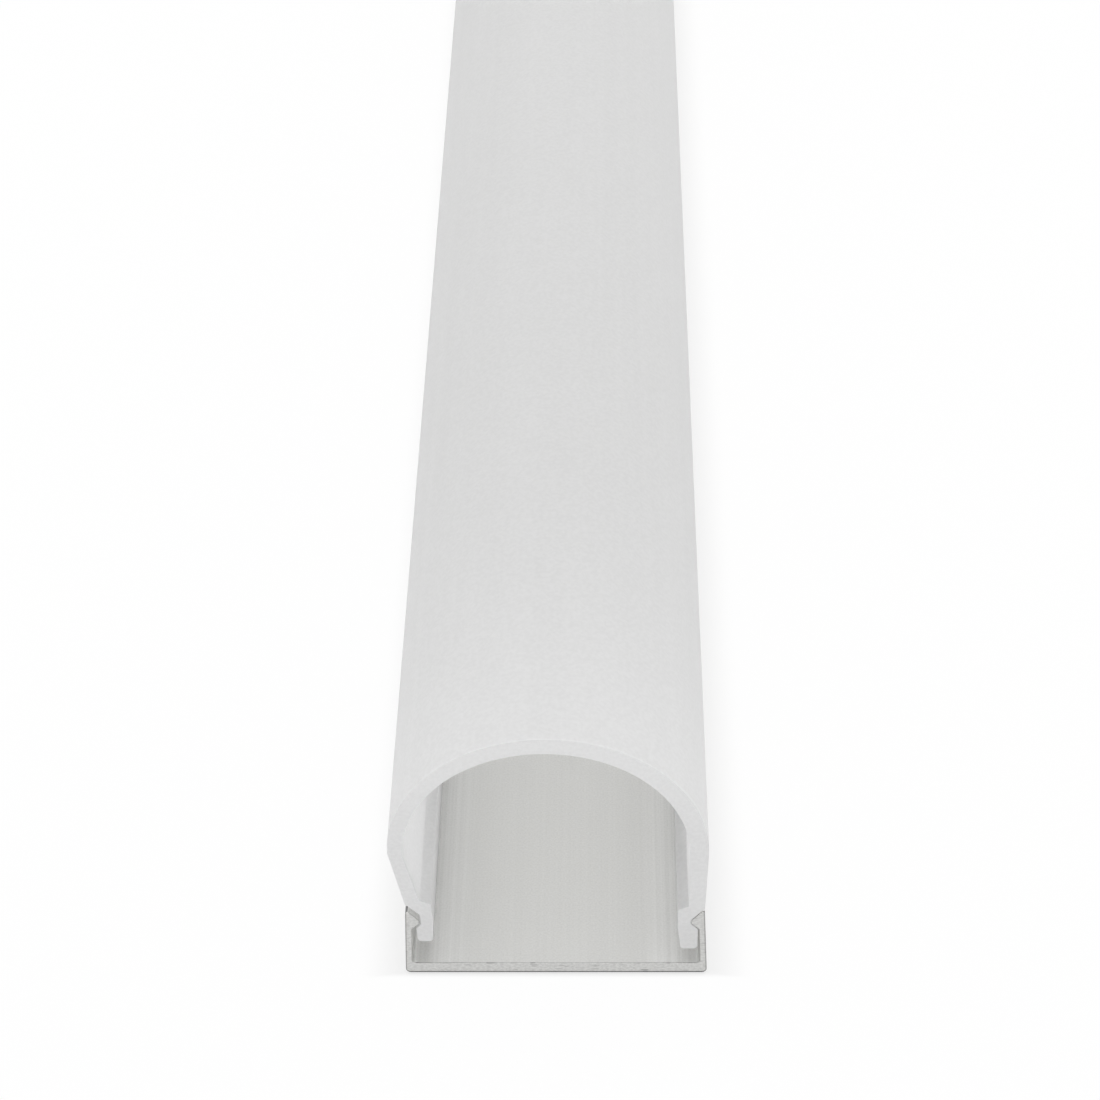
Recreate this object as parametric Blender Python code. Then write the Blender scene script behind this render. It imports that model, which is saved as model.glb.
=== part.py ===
"""A surface LED strip profile: a shallow aluminium channel and the round opal cover that snaps into it.

Both pieces are extrusions, so each is one outline drawn across the profile (x across, z up) and pushed out
along Y. The origin is the middle of the channel's underside. The end at -Y is the one seen in front.
The cover sits a little askew: its arch leans left, and its left foot has ridden up under the hook.
"""

import math

import bmesh
import bpy
from mathutils import Matrix, Vector

MM = 0.001

# The bar
LENGTH = 500.0 * MM
CHANNEL_WIDTH = 24.0 * MM  # across the floor, outside

# The channel
FLOOR_THICKNESS = 1.08 * MM
WALL_THICKNESS = 0.48 * MM
WALL_HEIGHT = 7.2 * MM
WALL_TOE_IN = 0.3 * MM  # how far each thin wall has closed in at its top
OUTER_CORNER_RADIUS = 0.4 * MM
INNER_FILLET_RADIUS = 0.35 * MM
WALL_TOP_RADIUS = 0.08 * MM

# The hook that runs along the top of each wall
HOOK_WIDTH = 1.0 * MM  # from the wall's outer face to the hook's tip
HOOK_PEAK_IN = 0.2 * MM  # from the wall's outer face to the hook's peak
HOOK_PEAK_BREAK = 0.28 * MM  # height of the broken edge outside the peak
HOOK_LEAD_IN = 1.05 * MM  # height of the slope that guides the cover in
HOOK_TIP_HEIGHT = 0.32 * MM
HOOK_UNDERCUT = 0.67 * MM  # height of the slope under the tip
HOOK_TIP_RADIUS = 0.08 * MM

# The cover's arch: an outer and an inner half round, each with its own centre. The legs run on from its ends.
COVER_OUTER_RADIUS = 12.3 * MM
COVER_WALL = 1.3 * MM
ARCH_CENTRE_HEIGHT = 13.9 * MM
ARCH_SWAY = 0.42 * MM  # how far the arch stands left of the channel's middle
BORE_LEFT = 0.14 * MM
BORE_DOWN = 0.22 * MM

# The cover's feet, which snap under the hooks
LEG_THICKNESS = 1.27 * MM  # just above the shoulder
SHOULDER_GAP = 0.1 * MM  # from the wall's top up to the shoulder
SLOPE_GAP = 0.1 * MM  # between the sloping faces of hook and cover
NECK_GAP = 0.1 * MM  # between the neck and the hook's tip
NECK_THICKNESS = 1.01 * MM
LEDGE_BACK = 0.55 * MM  # the ledge inside the leg, its back and its front above the shoulder's height
LEDGE_FRONT = 0.12 * MM
BARB_GAP = 0.12 * MM  # between the barb's edge and the wall
TOE_LENGTH = 2.28 * MM  # from the barb's edge down
TOE_SLANT = 0.27 * MM  # how far the toe's inner side is cut back
TOE_SLANT_HEIGHT = 2.5 * MM
TOE_RADIUS = 0.3 * MM
BARB_RADIUS = 0.15 * MM
SHOULDER_RADIUS = 0.12 * MM
LEDGE_RADIUS = 0.15 * MM

# How the left foot sits: it has ridden up, drawn in from the wall, and leans out with its leg. Its barb is
# still caught under the hook, so it stands lower on this foot, above a shorter toe.
LEFT_LIFT = 0.68 * MM
LEFT_DRAWN_IN = 0.06 * MM
LEFT_LEAN = math.radians(3.5)
LEFT_TOE_LENGTH = 1.55 * MM
LEFT_SHOULDER_IN = 0.1 * MM  # from the wall's outer face back to the shoulder's edge, before the lean
LEFT_BARB_IN = 0.15 * MM  # this foot's barb is cut back by so much

# How finely rounds are drawn
ARC_STEP = math.radians(4.0)
FILLET_STEP = math.radians(20.0)
SMOOTH_BELOW = math.radians(30.0)
CORNER_SHARE = 0.49  # the most of a side that the rounding of one of its corners takes
WELD_DISTANCE = 0.001 * MM


def arc(centre, radius, start, end):
    """Points along an arc, both ends included. Angles run from +x towards +z."""
    steps = max(2, math.ceil(abs(end - start) / ARC_STEP))
    angles = [start + (end - start) * i / steps for i in range(steps + 1)]
    return [centre + radius * Vector((math.cos(a), math.sin(a))) for a in angles]


def rounded(corner, before, after, radius):
    """Points that replace a corner by an arc tangent to both of its sides."""
    back, on = (before - corner).normalized(), (after - corner).normalized()
    half_angle = back.angle(on) / 2
    shorter_side = min((before - corner).length, (after - corner).length)
    reach = min(radius / math.tan(half_angle), CORNER_SHARE * shorter_side)
    radius = reach * math.tan(half_angle)
    centre = corner + (back + on).normalized() * radius / math.sin(half_angle)
    first, last = corner + back * reach - centre, corner + on * reach - centre
    turn = math.atan2(first.x * last.y - first.y * last.x, first.dot(last))
    steps = max(1, math.ceil(abs(turn) / FILLET_STEP))
    return [centre + Matrix.Rotation(turn * i / steps, 2) @ first for i in range(steps + 1)]


def outline(corners):
    """The outline's points, from its corners in order, each a point and the radius that rounds it."""
    points = []
    for i, (corner, radius) in enumerate(corners):
        if radius:
            before, after = corners[i - 1][0], corners[(i + 1) % len(corners)][0]
            points += rounded(corner, before, after, radius)
        else:
            points.append(corner)
    return points


def mirrored(corners):
    """The same corners on the other side of the middle, in the order that keeps the outline going round."""
    return [(Vector((-point.x, point.y)), radius) for point, radius in reversed(corners)]


def wall_outside(height):
    """Half the channel's width at a height: the walls close in towards their tops."""
    return CHANNEL_WIDTH / 2 - WALL_TOE_IN * height / WALL_HEIGHT


def wall_inside(height):
    return wall_outside(height) - WALL_THICKNESS


# The right-hand hook's corners, which the channel and the cover share
HOOK_BREAK_HEIGHT = WALL_HEIGHT - HOOK_PEAK_BREAK
HOOK_TOP = Vector((wall_outside(WALL_HEIGHT) - HOOK_PEAK_IN, WALL_HEIGHT))
HOOK_TIP_TOP = Vector((wall_outside(WALL_HEIGHT) - HOOK_WIDTH, WALL_HEIGHT - HOOK_LEAD_IN))
HOOK_TIP_BOTTOM = HOOK_TIP_TOP - Vector((0, HOOK_TIP_HEIGHT))
HOOK_ROOT_HEIGHT = HOOK_TIP_BOTTOM.y - HOOK_UNDERCUT
HOOK_ROOT = Vector((wall_inside(HOOK_ROOT_HEIGHT), HOOK_ROOT_HEIGHT))


def channel_outline():
    right = [
        (Vector((wall_outside(0), 0)), OUTER_CORNER_RADIUS),
        (Vector((wall_outside(HOOK_BREAK_HEIGHT), HOOK_BREAK_HEIGHT)), WALL_TOP_RADIUS),
        (HOOK_TOP, WALL_TOP_RADIUS),
        (HOOK_TIP_TOP, HOOK_TIP_RADIUS),
        (HOOK_TIP_BOTTOM, HOOK_TIP_RADIUS),
        (HOOK_ROOT, 0),
        (Vector((wall_inside(FLOOR_THICKNESS), FLOOR_THICKNESS)), INNER_FILLET_RADIUS),
    ]
    return outline(right + mirrored(right))


def offset_line(start, end, distance):
    """A line's start and direction, moved sideways to the right of the way from start to end."""
    way = end - start
    return start + distance * Vector((way.y, -way.x)).normalized(), way


def height_on(line, x):
    start, way = line
    return start.y + (x - start.x) * way.y / way.x


def foot(toe_length, shoulder_in=0.0, barb_in=0.0, lift=0.0, drawn_in=0.0, lean=0.0):
    """Corners of the right leg's lower end, from its outside down round the toe and up its inside.

    The shoulder and the barb follow the hook's two slopes. Once lifted, the barb is close under the hook.
    """
    over_hook = offset_line(HOOK_TOP, HOOK_TIP_TOP, SLOPE_GAP)
    under_hook = offset_line(HOOK_TIP_BOTTOM, HOOK_ROOT, SLOPE_GAP)
    under_hook[0].y -= lift

    shoulder_x, shoulder_z = wall_outside(WALL_HEIGHT) - shoulder_in, WALL_HEIGHT + SHOULDER_GAP
    neck_x = HOOK_TIP_TOP.x - NECK_GAP
    barb_x = HOOK_ROOT.x - BARB_GAP - barb_in
    inner_x = neck_x - NECK_THICKNESS
    slope_start_x = over_hook[0].x + (shoulder_z - over_hook[0].y) * over_hook[1].x / over_hook[1].y
    neck_top, neck_bottom = height_on(over_hook, neck_x), height_on(under_hook, neck_x)
    barb_z = height_on(under_hook, barb_x)
    toe_z = barb_z - toe_length

    corners = [
        (Vector((shoulder_x, shoulder_z)), SHOULDER_RADIUS),
        (Vector((slope_start_x, shoulder_z)), 0),
        (Vector((neck_x, neck_top)), BARB_RADIUS),
        (Vector((neck_x, neck_bottom)), BARB_RADIUS),
        (Vector((barb_x, barb_z)), BARB_RADIUS),
        (Vector((barb_x, toe_z)), TOE_RADIUS),
        (Vector((inner_x + TOE_SLANT, toe_z)), TOE_RADIUS),
        (Vector((inner_x, toe_z + TOE_SLANT_HEIGHT)), 0),
        (Vector((inner_x, shoulder_z + LEDGE_FRONT)), LEDGE_RADIUS),
        (Vector((wall_outside(WALL_HEIGHT) - LEG_THICKNESS, shoulder_z + LEDGE_BACK)), LEDGE_RADIUS),
    ]
    pivot = Vector((neck_x - NECK_THICKNESS / 2, (neck_top + neck_bottom) / 2))
    turn = Matrix.Rotation(-lean, 2)
    seat = Vector((-drawn_in, lift))
    return [(pivot + turn @ (point - pivot) + seat, radius) for point, radius in corners]


def cover_outline():
    outer_centre = Vector((-ARCH_SWAY, ARCH_CENTRE_HEIGHT))
    inner_centre = outer_centre - Vector((BORE_LEFT, BORE_DOWN))
    over = arc(outer_centre, COVER_OUTER_RADIUS, 0, math.pi)
    under = arc(inner_centre, COVER_OUTER_RADIUS - COVER_WALL, math.pi, 0)
    # going round the outline, the left foot runs from outside to inside and the right one from inside to outside
    askew = foot(LEFT_TOE_LENGTH, LEFT_SHOULDER_IN, LEFT_BARB_IN, LEFT_LIFT, LEFT_DRAWN_IN, LEFT_LEAN)
    left_foot, right_foot = list(reversed(mirrored(askew))), list(reversed(foot(TOE_LENGTH)))
    return outline([(p, 0) for p in over] + left_foot + [(p, 0) for p in under] + right_foot)


def material(name, colour, roughness, metallic):
    made = bpy.data.materials.new(name)
    made.use_nodes = True
    shader = made.node_tree.nodes["Principled BSDF"]
    shader.inputs["Base Color"].default_value = (*colour, 1.0)
    shader.inputs["Roughness"].default_value = roughness
    shader.inputs["Metallic"].default_value = metallic
    return made


def extrusion(name, points, finish, collection):
    """One bar: the flat outline as a filled 2D curve, extruded both ways from the middle, stood along Y."""
    curve = bpy.data.curves.new(name + "_outline", "CURVE")
    curve.dimensions = "2D"
    curve.fill_mode = "BOTH"
    curve.extrude = LENGTH / 2
    spline = curve.splines.new("POLY")
    spline.points.add(len(points) - 1)
    for point, place in zip(spline.points, points):
        point.co = (place.x, place.y, 0, 1)
    spline.use_cyclic_u = True
    drawn = bpy.data.objects.new(name + "_outline", curve)
    drawn.rotation_euler = (math.pi / 2, 0, 0)
    collection.objects.link(drawn)

    graph = bpy.context.evaluated_depsgraph_get()
    mesh = bpy.data.meshes.new_from_object(drawn.evaluated_get(graph))
    made = bpy.data.objects.new(name, mesh)
    made.matrix_world = drawn.matrix_world
    collection.objects.link(made)
    bpy.data.objects.remove(drawn)
    weld(mesh)
    mesh.shade_smooth()
    mesh.set_sharp_from_angle(angle=SMOOTH_BELOW)
    mesh.materials.clear()
    mesh.materials.append(finish)
    return made


def weld(mesh):
    """Joins the caps to the sides and turns every face outwards."""
    work = bmesh.new()
    work.from_mesh(mesh)
    bmesh.ops.remove_doubles(work, verts=work.verts, dist=WELD_DISTANCE)
    bmesh.ops.recalc_face_normals(work, faces=work.faces)
    work.to_mesh(mesh)
    work.free()


def main():
    for old in list(bpy.data.objects):
        bpy.data.objects.remove(old)
    parts = bpy.data.collections.new("led_strip_profile")
    bpy.context.scene.collection.children.link(parts)

    aluminium = material("anodised_aluminium", (0.56, 0.56, 0.54), 0.38, 1.0)
    opal = material("opal_plastic", (0.72, 0.72, 0.72), 0.55, 0.0)
    extrusion("channel", channel_outline(), aluminium, parts)
    extrusion("diffuser_cover", cover_outline(), opal, parts)


main()
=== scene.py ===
# %% [markdown]
# # A bar of LED strip profile
#
# The object is a straight bar made of two extrusions: a shallow silver aluminium channel, and a round cover
# of opal plastic whose two barbed feet snap under hooks along the channel's walls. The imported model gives
# the exact solids, and this script dresses them. The solids could be kept and only coloured, but their edges
# are perfectly sharp, which no sawn end is. So both bars are rebuilt from the solids' own sections, with
# slightly burred ends, and get the finishes of anodised aluminium and frosted plastic.

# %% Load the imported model
import math

import bmesh
import bpy
from mathutils import Matrix, Vector, noise


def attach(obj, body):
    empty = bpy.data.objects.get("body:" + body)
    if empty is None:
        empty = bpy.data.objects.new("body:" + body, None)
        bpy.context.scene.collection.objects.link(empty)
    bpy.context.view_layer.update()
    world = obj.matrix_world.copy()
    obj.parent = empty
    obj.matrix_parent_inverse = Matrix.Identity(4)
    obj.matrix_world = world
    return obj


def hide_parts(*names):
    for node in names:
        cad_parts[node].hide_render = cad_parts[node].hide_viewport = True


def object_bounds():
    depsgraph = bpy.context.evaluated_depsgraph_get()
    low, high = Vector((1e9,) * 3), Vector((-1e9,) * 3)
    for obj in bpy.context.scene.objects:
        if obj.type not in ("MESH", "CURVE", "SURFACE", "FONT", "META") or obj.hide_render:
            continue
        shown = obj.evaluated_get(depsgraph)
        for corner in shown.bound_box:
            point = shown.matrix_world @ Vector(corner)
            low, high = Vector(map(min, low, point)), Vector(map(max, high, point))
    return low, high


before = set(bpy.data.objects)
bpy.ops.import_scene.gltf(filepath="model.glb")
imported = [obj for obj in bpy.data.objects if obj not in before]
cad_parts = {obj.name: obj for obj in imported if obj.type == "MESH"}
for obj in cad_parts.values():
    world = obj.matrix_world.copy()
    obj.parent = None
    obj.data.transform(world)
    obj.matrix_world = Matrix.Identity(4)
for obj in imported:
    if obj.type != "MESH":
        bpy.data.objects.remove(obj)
cad_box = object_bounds()
MM = 0.001


def in_mm(box):
    """The two corners of a box in millimetres, for printing."""
    return [[round(value / MM, 2) for value in corner] for corner in box]


print("nodes:", sorted(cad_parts))
print("box in mm:", in_mm(cad_box))

# %% [markdown]
# ## The camera
#
# A camera can be set by eye, by moving it until the picture looks right. This one was worked out from the
# photograph's own geometry, which is exact: the channel's width and height at the near end, the point where
# the long edges meet far away, and the round arch. It stands 138 mm in front of the sawn end and 164 mm
# above the table, looks 41 degrees down and leans a little over a degree, as a hand-held camera does.
# Blender wants that as a rotation whose columns are the camera's right, up and backward axes.

# %% Camera
YAW, PITCH, ROLL = math.radians(-1.6495), math.radians(41.004), math.radians(-1.2804)
CAMERA_PLACE = Vector((4.222, -387.659, 164.366)) * MM
FOCAL_SHARE = 2655.094 / 1100  # focal length over the frame's width
SENSOR_WIDTH = 36.0
NEAREST, FARTHEST = 0.01, 50.0  # metres from the camera, between which things show


def aim(yaw, pitch, roll):
    """The rotation of a camera that looks along +Y, turned by yaw, tipped down by pitch, then rolled."""
    forward = Vector((math.sin(yaw) * math.cos(pitch), math.cos(yaw) * math.cos(pitch), -math.sin(pitch)))
    right = Vector((math.cos(yaw), -math.sin(yaw), 0.0))
    up = right.cross(forward)
    rolled_right = math.cos(roll) * right + math.sin(roll) * up
    rolled_up = math.cos(roll) * up - math.sin(roll) * right
    return Matrix((rolled_right, rolled_up, -forward)).transposed()


view = bpy.data.cameras.new("photo_view")
view.sensor_width = SENSOR_WIDTH
view.lens = FOCAL_SHARE * SENSOR_WIDTH
view.clip_start = NEAREST
view.clip_end = FARTHEST
camera = bpy.data.objects.new("photo_camera", view)
camera.matrix_world = Matrix.Translation(CAMERA_PLACE) @ aim(YAW, PITCH, ROLL).to_4x4()
bpy.context.scene.collection.objects.link(camera)
bpy.context.scene.camera = camera
print("lens:", round(view.lens, 2), "mm")

# %% [markdown]
# ## Shader sums
#
# A procedural finish is arithmetic on positions and noise. Its nodes could be added and linked one by one,
# but that hides the sum in dozens of lines. Here a small class wraps a node's output, so that the sum is
# written as a Python expression. One method adds any other node: its settings are set first, and then its
# sockets get their values or links.


# %% Socket sums
class Signal:
    """A node's output that Python can do sums with: every operator adds its Math node."""

    def __init__(self, tree, socket=None):
        self.tree = tree
        self.socket = socket

    def node(self, kind, inputs, output=0, **settings):
        """A new node with these settings, and these values or links at its inputs. Gives one output."""
        made = self.tree.nodes.new("ShaderNode" + kind)
        for name, value in settings.items():
            setattr(made, name, value)
        for name, value in inputs.items():
            if isinstance(value, Signal):
                self.tree.links.new(value.socket, made.inputs[name])
            else:
                made.inputs[name].default_value = value
        return Signal(self.tree, made.outputs[output])

    def sum(self, operation, first, second):
        """One Math node on two numbers or signals."""
        return self.node("Math", {0: first, 1: second}, operation=operation)

    def __add__(self, other):
        return self.sum("ADD", self, other)

    def __radd__(self, other):
        return self.sum("ADD", other, self)

    def __sub__(self, other):
        return self.sum("SUBTRACT", self, other)

    def __rsub__(self, other):
        return self.sum("SUBTRACT", other, self)

    def __mul__(self, other):
        return self.sum("MULTIPLY", self, other)

    def __rmul__(self, other):
        return self.sum("MULTIPLY", other, self)

    def either(self, other):
        """The larger of the two, so a mask that is on where one of them is."""
        return self.sum("MAXIMUM", self, other)

    def size(self):
        """The distance from zero, the same on both sides of it."""
        return self.sum("ABSOLUTE", self, 0.0)

    def length_with(self, other):
        """The long side of the right triangle whose short sides are these two."""
        return self.sum("SQRT", self * self + other * other, 0.0)

    def axis(self, letter):
        """The X, Y or Z of a position."""
        return self.node("SeparateXYZ", {0: self}, output=letter)

    def blend(self, colour_off, colour_on):
        """A colour that goes from one to the other as this signal goes from 0 to 1."""
        return self.node("Mix", {0: self, 6: colour_off, 7: colour_on}, output=2, data_type="RGBA")

    def step(self, low, high):
        """0 below low, 1 above high, and smooth between them."""
        limits = {"Value": self, "From Min": low, "From Max": high}
        return self.node("MapRange", limits, interpolation_type="SMOOTHSTEP")

    def noise(self, scale, stretch=(1.0, 1.0, 1.0), detail=2.0, roughness=0.5):
        """Noise on this position, drawn out along the axes whose stretch is small."""
        drawn = self.node("Mapping", {"Vector": self, "Scale": stretch})
        sockets = {"Vector": drawn, "Scale": scale, "Detail": detail, "Roughness": roughness}
        return self.node("TexNoise", sockets)


print("socket sums ready")


# %% Greys and finishes
NOISE_SPAN = 0.3, 0.7  # nearly all values of a noise lie between these


def grey(value, warmth=0.0):
    """A grey, with a little blue taken away where warmth is above 0."""
    return (value, value, value * (1.0 - warmth), 1.0)


def finish(name):
    """A new material, its shader, and the position on the object that its patterns are made from."""
    made = bpy.data.materials.new(name)
    made.use_nodes = True
    tree = made.node_tree
    shader = tree.nodes["Principled BSDF"]
    place = Signal(tree).node("TexCoord", {}, output="Object")
    return made, shader, place


def feed(shader, **signals):
    """Links signals to a shader's sockets, whose names have spaces where the arguments have underscores."""
    for name, signal in signals.items():
        signal.tree.links.new(signal.socket, shader.inputs[name.replace("_", " ")])


def mix_shaders(material, share, shader, other):
    """Makes a material show its own shader, and the other one for a share of it."""
    tree = material.node_tree
    own = Signal(tree, shader.outputs[0])
    mixed = share.node("MixShader", {0: share, 1: own, 2: other})
    tree.links.new(mixed.socket, tree.nodes["Material Output"].inputs["Surface"])


print("finish tools ready")

# %% [markdown]
# ## The table
#
# The photograph is a product shot on pure white paper. A strong lamp could bleach the paper, but it would
# bleach the bar as well. So this is ordinary paper, mixed with plain white where the camera or a reflection
# sees it. The share that isn't plain white keeps the paper's real shading. It is largest within a few
# millimetres of the bar, where it gives the faint shadow that ties the bar to the table.

# %% White paper
PAPER_SIZE = 6.0
PAPER_DROP = 0.02 * MM  # a hair under the bar, so that the two faces don't flicker
PAPER_GREYS = grey(0.94), grey(0.97)
PAPER_SCALE = 3.0  # noise cells in a metre of paper
PAPER_ROUGHNESS = 0.9
SHADOW_REACH = 4.0 * MM  # how far beside the bar the paper's shading still shows
END_FADE = 7.0  # how many times sooner it fades in front of the bar's ends
WHITE_BESIDE, WHITE_AWAY = 0.58, 0.97  # share of plain white next to the bar, and away from it


def seen_white(tree):
    """1 for rays from the camera, off gloss and through plastic, which see the room as plain white."""
    rays = Signal(tree)
    camera_ray = rays.node("LightPath", {}, output="Is Camera Ray")
    glossy_ray = rays.node("LightPath", {}, output="Is Glossy Ray")
    through_ray = rays.node("LightPath", {}, output="Is Transmission Ray")
    return camera_ray.either(glossy_ray).either(through_ray)


sheet = bmesh.new()
bmesh.ops.create_grid(sheet, x_segments=1, y_segments=1, size=PAPER_SIZE / 2)
bmesh.ops.translate(sheet, verts=sheet.verts, vec=(0, 0, -PAPER_DROP))
paper_mesh = bpy.data.meshes.new("paper")
sheet.to_mesh(paper_mesh)
sheet.free()
paper = bpy.data.objects.new("paper", paper_mesh)
bpy.context.scene.collection.objects.link(paper)

white, white_shader, place = finish("white_paper")
feed(white_shader, Base_Color=place.noise(PAPER_SCALE).blend(*PAPER_GREYS))
white_shader.inputs["Roughness"].default_value = PAPER_ROUGHNESS
beside = place.axis("X").size() - cad_box[1][0]
before = (place.axis("Y").size() - cad_box[1][1]) * END_FADE
away = beside.either(before).step(0.0, SHADOW_REACH)
white_share = WHITE_BESIDE + away * (WHITE_AWAY - WHITE_BESIDE)
plain_white = place.node("Emission", {"Color": grey(1.0), "Strength": 1.0})
mix_shaders(white, seen_white(white.node_tree) * white_share, white_shader, plain_white)
paper_mesh.materials.append(white)
print("paper:", PAPER_SIZE, "m square")

# %% [markdown]
# ## The light
#
# Product shots are lit softly from all around. A picture of a studio wrapped round the scene could do that,
# but plain parts are easier to set: an even white room, one soft lamp above the bar behind its middle, and a
# large one on each side. None of them stands in front of the sawn end, which is why that end is a shade
# darker than the bar. Their level is plain: a colour renders about as it is written.

# %% White room and lamps
ROOM_LIGHT = 0.7
LIT_POINT = Vector((0.0, -0.1, 0.0))  # on the bar's front half

room = bpy.data.worlds.new("white_room")
room.use_nodes = True
room_light = room.node_tree.nodes["Background"]
room_light.inputs["Color"].default_value = grey(1.0)
feed(room_light, Strength=ROOM_LIGHT + seen_white(room.node_tree) * (1.0 - ROOM_LIGHT))
bpy.context.scene.world = room


def softbox(name, stand, power, size):
    """A square lamp at a stand, turned to the lit point."""
    backward = Vector(stand) - LIT_POINT
    light = bpy.data.lights.new(name, "AREA")
    light.size = size
    light.energy = power
    lamp = bpy.data.objects.new(name, light)
    lamp.matrix_world = Matrix.Translation(stand) @ backward.to_track_quat("Z", "Y").to_matrix().to_4x4()
    bpy.context.scene.collection.objects.link(lamp)
    print(name, "at", stand, "with", power, "W")


softbox("softbox_above", (0.0, 0.12, 0.38), power=0.52, size=0.5)
softbox("softbox_left", (-0.7, 0.1, 0.3), power=1.15, size=0.8)
softbox("softbox_right", (0.7, 0.1, 0.3), power=1.15, size=0.8)
bpy.context.scene.view_settings.view_transform = "Standard"

# %% [markdown]
# ## The section
#
# A die gives an extruded bar one section all along, so that section is all there is to model. It could be
# drawn again point by point, but then it might differ from the solid. Here it is taken from the solid's own
# sawn end: all other faces are deleted, and the end's triangles are dissolved into one flat face. Its long
# sides are divided, so that the sawn edge can waver.

# %% The section at a bar's near end
END = cad_box[1][1]  # half the bar's length
WELD = 0.0005 * MM
LONGEST_SIDE = 0.7 * MM


def section(node):
    """A bmesh that holds one flat face: the sawn near end of a CAD node."""
    work = bmesh.new()
    work.from_mesh(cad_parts[node].data)
    bmesh.ops.remove_doubles(work, verts=work.verts, dist=WELD)
    others = [face for face in work.faces if any(vert.co.y > -END + WELD for vert in face.verts)]
    bmesh.ops.delete(work, geom=others, context="FACES")
    bmesh.ops.dissolve_faces(work, faces=work.faces, use_verts=False)
    while long_sides := [edge for edge in work.edges if edge.calc_length() > LONGEST_SIDE]:
        bmesh.ops.subdivide_edges(work, edges=long_sides, cuts=1)
    return work


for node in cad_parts:
    trial = section(node)
    print(node, "section:", len(trial.faces), "face with", len(trial.verts), "corners")
    trial.free()

# %% [markdown]
# ## The sawn bars
#
# Extruding the section gives the bar with knife-sharp ends. A bevel could round them, but it would come out
# the same all round, and a saw and a file don't work so evenly. Instead each end gets a narrow inset, whose
# rim is then drawn back by a depth that swells and shrinks along the edge.

# %% Section to bar
EDGE_WIDTH = 0.03 * MM
LEAST_BREAK = 0.65  # least depth of the broken edge, as a share of its width, so that it stays crisp
BURR_SIZE = 0.6 * MM  # how far apart the swells of a sawn edge are


def bar(node):
    """The whole bar of a CAD node, with its sawn ends' edges broken."""
    work = section(node)
    near = list(work.faces)
    grown = bmesh.ops.extrude_face_region(work, geom=near)["geom"]
    moved = [item for item in grown if isinstance(item, bmesh.types.BMVert)]
    bmesh.ops.translate(work, verts=moved, vec=(0, 2 * END, 0))
    bmesh.ops.recalc_face_normals(work, faces=work.faces)
    for side in (-1, 1):
        cap = [face for face in work.faces if all(abs(v.co.y - side * END) < WELD for v in face.verts)]
        inset = bmesh.ops.inset_region(work, faces=cap, thickness=EDGE_WIDTH, use_even_offset=True)
        flat = {vert for face in cap for vert in face.verts}
        for vert in {vert for face in inset["faces"] for vert in face.verts} - flat:
            swell = (noise.noise(vert.co / BURR_SIZE) + 1.0) / 2
            vert.co.y -= side * EDGE_WIDTH * (LEAST_BREAK + swell)
    print(node, "bar:", len(work.faces), "faces,", round(2 * END / MM), "mm long")
    return work


channel_work = bar("channel")
cover_work = bar("diffuser_cover")

# %% [markdown]
# ## Anodised aluminium: the skin
#
# Anodised aluminium is a metal with a matte glass-like skin. The die leaves fine lines along the bar, and
# over them lies an even grain. Towards the walls the lines grow stronger and lighten the floor, which is
# painted light that makes up for the shade falling beside the walls. Brushed metal is often made with an
# anisotropic shader, but these lines can be seen one by one, so they are noise drawn out along Y, which also
# stays when the model is baked.
# The outer faces of the walls look over the white paper and get painted shade, so that they still read as
# silver.
# Three narrow places get painted shade too, where shade falls under the cover: the slot behind the cover's
# feet, the hooks' lead-in slopes, and the hooks' top edges.

# %% Places on the channel
WALL_LEAN = 0.3 / 7.2  # the walls close in by so much over their height
CUT_FADES, CUT_WHOLE = 0.14 * MM, 0.09 * MM  # from the end: the sawn look fades out, and is whole


def sawn_ends(place):
    """1 on a bar's two sawn faces, 0 along the bar."""
    return place.axis("Y").size().step(END - CUT_FADES, END - CUT_WHOLE)


aluminium, metal, place = finish("anodised_aluminium")
across = place.axis("X").size()
height = place.axis("Z")
wall_line = across + height * WALL_LEAN  # the same all the way up a wall's face
sawn = sawn_ends(place)
print("a wall leans in by", round(math.degrees(math.atan(WALL_LEAN)), 1), "degrees")

# %% Aluminium skin
CORNERS = 6.0 * MM, 9.5 * MM  # across, where the die lines and the painted light grow towards the walls
INNER_FACE = 11.2 * MM, 11.35 * MM  # wall line, from the floor's fillet to a wall's inner face
WALL_CORE = 11.6 * MM, 11.7 * MM  # wall line, behind that face
SLOT_TOP = 5.2 * MM, 5.4 * MM  # height, where the hook closes the slot
SLOPE_START = 6.1 * MM, 6.2 * MM  # height, where a hook's lead-in slope starts above its tip
SLOPE_END = 11.7 * MM, 11.76 * MM  # wall line, where the slope meets the hook's top edge
TOP_EDGE_LINE, TOP_EDGE_HEIGHT = (11.76 * MM, 11.82 * MM), (6.9 * MM, 6.94 * MM)
OUTER_FACE = 11.8 * MM, 11.9 * MM  # wall line, at a wall's outer face
# painted shade: how strongly each place is painted darker
OUTER_SHARE, SLOT_SHARE, SLOPE_SHARE = 0.6, 0.4, 0.16  # how strongly each place is darkened
SKIN_DARK, SKIN_LIGHT = grey(0.72, 0.03), grey(0.99, 0.015)
# painted shade: the greys for the walls' outer faces, the slot and slopes, and the hooks' top edges
OUTER_SHADE_GREY, SLOT_AND_SLOPE_SHADE_GREY, TOP_EDGE_SHADE_GREY = grey(0.36, 0.02), grey(0.2, 0.04), grey(0.2)
LINE_SCALE, LINE_STRETCH = 4200.0, (1.0, 0.003, 1.0)  # lines a quarter of a mm wide and 80 mm long
GRAIN_SCALE = 6500.0  # grains of 0.15 mm
GRAIN_PART, LINE_PART, CORNER_LINES_AND_LIGHT = 0.7, 0.2, 0.8  # what grain, lines, and the corners' lines and painted light add

die_lines = place.noise(LINE_SCALE, stretch=LINE_STRETCH)
grain = place.noise(GRAIN_SCALE, detail=3.0)
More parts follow.
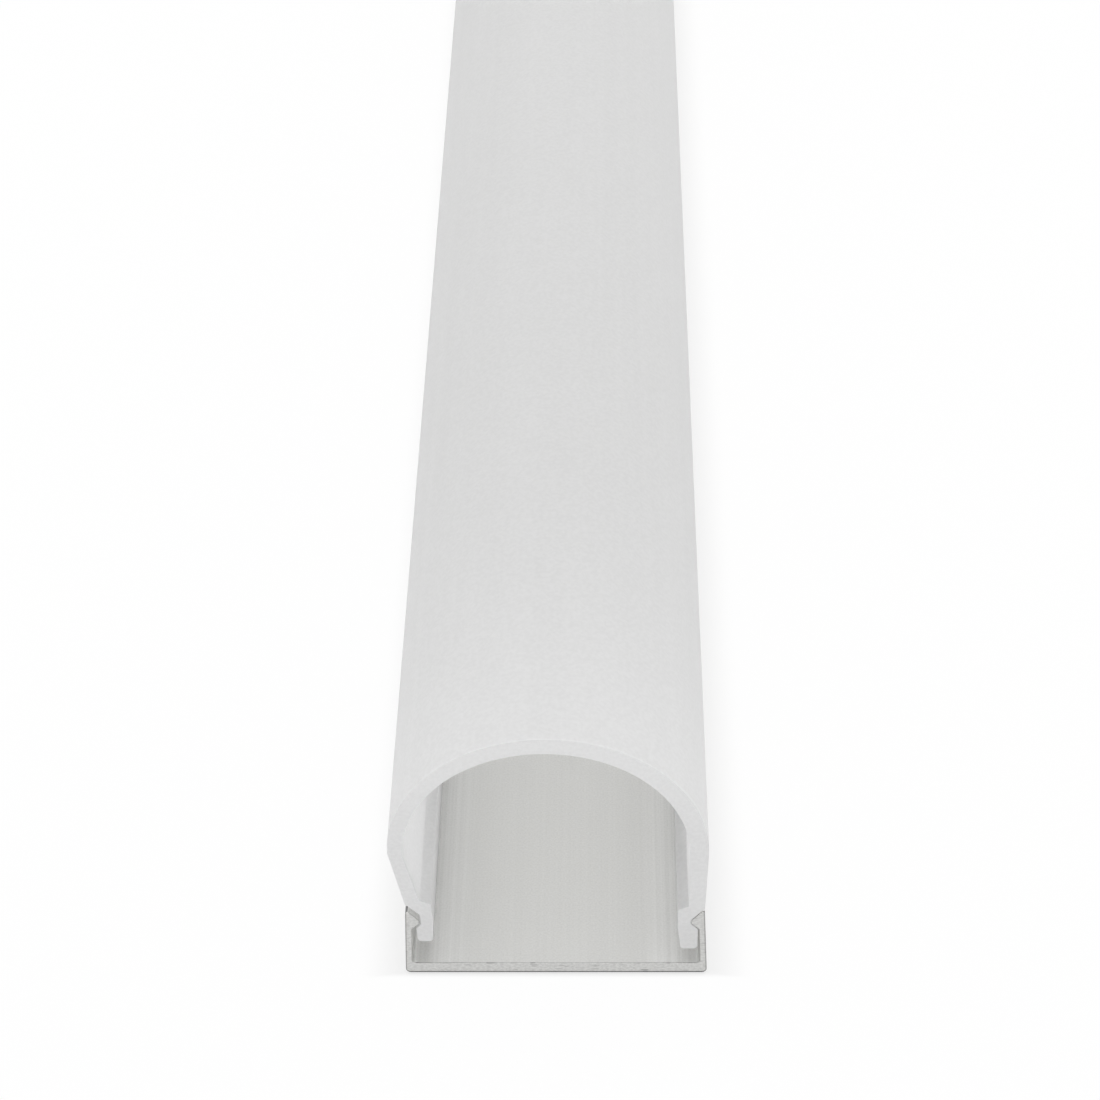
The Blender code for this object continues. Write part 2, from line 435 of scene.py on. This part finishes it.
# painted light: towards the walls the die lines grow stronger and lighten the floor, making up for the shade
# there
lines_and_light = LINE_PART + across.step(*CORNERS) * CORNER_LINES_AND_LIGHT
skin = (grain * GRAIN_PART + die_lines * lines_and_light).blend(SKIN_DARK, SKIN_LIGHT)

# painted shade: the slot behind the feet, the lead-in slopes and the hooks' top edges, where shade falls
# under the cover
slot = wall_line.step(*INNER_FACE) * (1.0 - wall_line.step(*WALL_CORE)) * (1.0 - height.step(*SLOT_TOP))
slope = height.step(*SLOPE_START) * (1.0 - wall_line.step(*SLOPE_END))
top_edge = wall_line.step(*TOP_EDGE_LINE) * height.step(*TOP_EDGE_HEIGHT)
# painted shade: the walls' outer faces are painted darker, because they reflect the bright white paper
outside = wall_line.step(*OUTER_FACE)
skin = (outside * OUTER_SHARE).blend(skin, OUTER_SHADE_GREY)
skin = (slot * SLOT_SHARE).either(slope * SLOPE_SHARE).blend(skin, SLOT_AND_SLOPE_SHADE_GREY)
skin = top_edge.blend(skin, TOP_EDGE_SHADE_GREY)
print("skin made with", len(aluminium.node_tree.nodes), "nodes")

# %% [markdown]
# ## Anodised aluminium: the sawn ends
#
# The saw cuts through the skin to the bare metal. It leaves a duller, mottled face with a few scratches, and
# a dark line runs round it, partly chipped skin and partly painted shade: nearly black along the underside,
# where the edge meets the paper in shade, fainter up the walls, and bent round the bottom corners. The line
# could be a ring of faces with a paint of its own. A mask needs no extra faces: it is the distance past the
# corner's centre, which makes the line follow the rounded corner.

# %% Sawn aluminium
CORNER_LINE, CORNER_HEIGHT = 11.62 * MM, 0.42 * MM  # centre of a bottom corner's rounding
CHIP_AND_SHADE_REACH = 0.24 * MM, 0.345 * MM  # distance past that centre
UP_THE_WALL = 0.1 * MM, 0.5 * MM  # height, over which the line grows fainter
WALL_SHARE = 0.5  # how much fainter
CREST = 0.64, 0.7  # only the noise's highest crests are scratches
SCRATCH_SHARE = 0.6
MOTTLE_SCALE, MOTTLE_STRETCH = 6000.0, (0.6, 1.0, 1.0)
SCRATCH_SCALE, SCRATCH_STRETCH = 2600.0, (0.3, 1.0, 2.0)  # short and level, as the saw runs
CUT_DARK, CUT_LIGHT = grey(0.58, 0.02), grey(0.71, 0.02)
# the dark line's grey is partly chipped skin and partly painted shade
SCRATCH_GREY, CHIP_AND_SHADE_GREY = grey(0.3), grey(0.09)

mottle = place.noise(MOTTLE_SCALE, stretch=MOTTLE_STRETCH, detail=3.0, roughness=0.6)
scratches = place.noise(SCRATCH_SCALE, stretch=SCRATCH_STRETCH, detail=1.0).step(*CREST)
cut = mottle.step(*NOISE_SPAN).blend(CUT_DARK, CUT_LIGHT)
cut = (scratches * SCRATCH_SHARE).blend(cut, SCRATCH_GREY)

# partly chipped skin, partly painted shade: a dark line round the sawn face, darkest along the underside by
# the paper
outward = (wall_line - CORNER_LINE).either(0.0)
downward = (CORNER_HEIGHT - height).either(0.0)
chip_and_shade = outward.length_with(downward).step(*CHIP_AND_SHADE_REACH)
chip_and_shade = chip_and_shade * (1.0 - height.step(*UP_THE_WALL) * WALL_SHARE)
cut = chip_and_shade.blend(cut, CHIP_AND_SHADE_GREY)
print("sawn face made with", len(aluminium.node_tree.nodes), "nodes")

# %% Aluminium shader
MATTE = 0.44  # roughness of the skin where it is smoothest
LINE_MATTE, CUT_MATTE = 0.12, 0.06  # what the die lines and the saw add
RELIEF_STRENGTH, RELIEF_DEPTH = 0.25, 0.01 * MM

feed(metal, Base_Color=sawn.blend(skin, cut), Roughness=MATTE + die_lines * LINE_MATTE + sawn * CUT_MATTE)
metal.inputs["Metallic"].default_value = 1.0
bumps = die_lines + grain + mottle * sawn
relief = place.node("Bump", {"Strength": RELIEF_STRENGTH, "Distance": RELIEF_DEPTH, "Height": bumps})
feed(metal, Normal=relief)
print("aluminium ready with", len(aluminium.node_tree.nodes), "nodes")

# %% [markdown]
# ## Opal plastic
#
# The cover is white plastic with a frosted skin. It passes on more light than it throws back, and spreads
# it, so that the inside of the bar is lit through it and the strip's dots don't show. Real opal scatters the
# light inside its wall, which a volume or subsurface shader could do slowly. A wall this thin looks the same
# when each of its faces is a mix of a plastic surface and one that lets light through. The sawn ends are
# denser to the eye, because they are looked at along the wall, and their colour is painted lighter towards
# the crown: painted light where the most light falls in. The skin has a very fine grain and faint lines
# along the bar.

# %% Opal finish
LIGHT_THROUGH, SAWN_THROUGH = 0.6, 0.12  # share of light passed on by each face, and by a sawn one
CROWN = 14.0 * MM, 25.0 * MM  # height, over which the sawn end's colour is painted lighter, as painted light
FROST_SCALE = 3200.0  # grains of 0.3 mm
DRAWN_SCALE, DRAWN_STRETCH = 900.0, (1.0, 0.01, 1.0)  # lines 1.1 mm wide and 110 mm long
FROST_PART, DRAWN_PART = 0.6, 0.4  # what grain and lines add to the skin
SAWN_PART, CROWN_LIGHT_PART = 0.5, 0.5  # what grain and the painted light at the crown add to the sawn end
OPAL_DARK, OPAL_LIGHT = grey(0.7), grey(0.89)
SAWN_DARK, SAWN_LIGHT = grey(0.845), grey(0.945)
SHEEN, FROST_MATTE = 0.45, 0.15  # roughness of the plastic, and what the frost adds
FROST_STRENGTH = 0.2

opal, plastic, place = finish("opal_plastic")
sawn = sawn_ends(place)
frost = place.noise(FROST_SCALE, detail=3.0).step(*NOISE_SPAN)
drawn_lines = place.noise(DRAWN_SCALE, stretch=DRAWN_STRETCH)
skin = (frost * FROST_PART + drawn_lines * DRAWN_PART).blend(OPAL_DARK, OPAL_LIGHT)
# painted light: the sawn end's colour grows lighter towards the crown
crown = place.axis("Z").step(*CROWN)
cut = (frost * SAWN_PART + crown * CROWN_LIGHT_PART).blend(SAWN_DARK, SAWN_LIGHT)

feed(plastic, Base_Color=sawn.blend(skin, cut), Roughness=SHEEN + frost * FROST_MATTE)
relief = place.node("Bump", {"Strength": FROST_STRENGTH, "Distance": RELIEF_DEPTH, "Height": frost})
feed(plastic, Normal=relief)
light_share = LIGHT_THROUGH - sawn * (LIGHT_THROUGH - SAWN_THROUGH)
lit_through = place.node("BsdfTranslucent", {"Color": grey(1.0)})
mix_shaders(opal, light_share, plastic, lit_through)
print("opal plastic ready with", len(opal.node_tree.nodes), "nodes")

# %% [markdown]
# ## Putting the bars in place
#
# The real cover is snapped on, and can also be slid out along the channel. Each bar already lies where its
# solid lies, so nothing has to be moved: it only has to ride on its solid's body and stand for that solid.
# A modifier could set the shading, but marking each edge by its angle does it once: flat faces stay flat
# and round ones smooth.

# %% Bars to pieces
SMOOTH_BELOW = math.radians(30)  # faces that meet at less than this are shaded as one


def place_piece(name, work, body, node, material):
    """Turns a finished bmesh into a piece that rides on a body and stands for a CAD node."""
    mesh = bpy.data.meshes.new(name)
    bmesh.ops.triangulate(work, faces=[face for face in work.faces if len(face.verts) > 4])
    for face in work.faces:
        face.smooth = True
    for edge in work.edges:
        edge.smooth = edge.calc_face_angle() < SMOOTH_BELOW
    open_edges = sum(1 for edge in work.edges if len(edge.link_faces) != 2)
    work.to_mesh(mesh)
    work.free()
    mesh.materials.append(material)
    piece = bpy.data.objects.new(name, mesh)
    bpy.context.scene.collection.objects.link(piece)
    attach(piece, body)
    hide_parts(node)
    print(name, "triangles:", sum(len(p.vertices) - 2 for p in mesh.polygons), "open edges:", open_edges)


place_piece("channel_bar", channel_work, "channel_body", "channel", aluminium)
place_piece("cover_bar", cover_work, "cover_body", "diffuser_cover", opal)
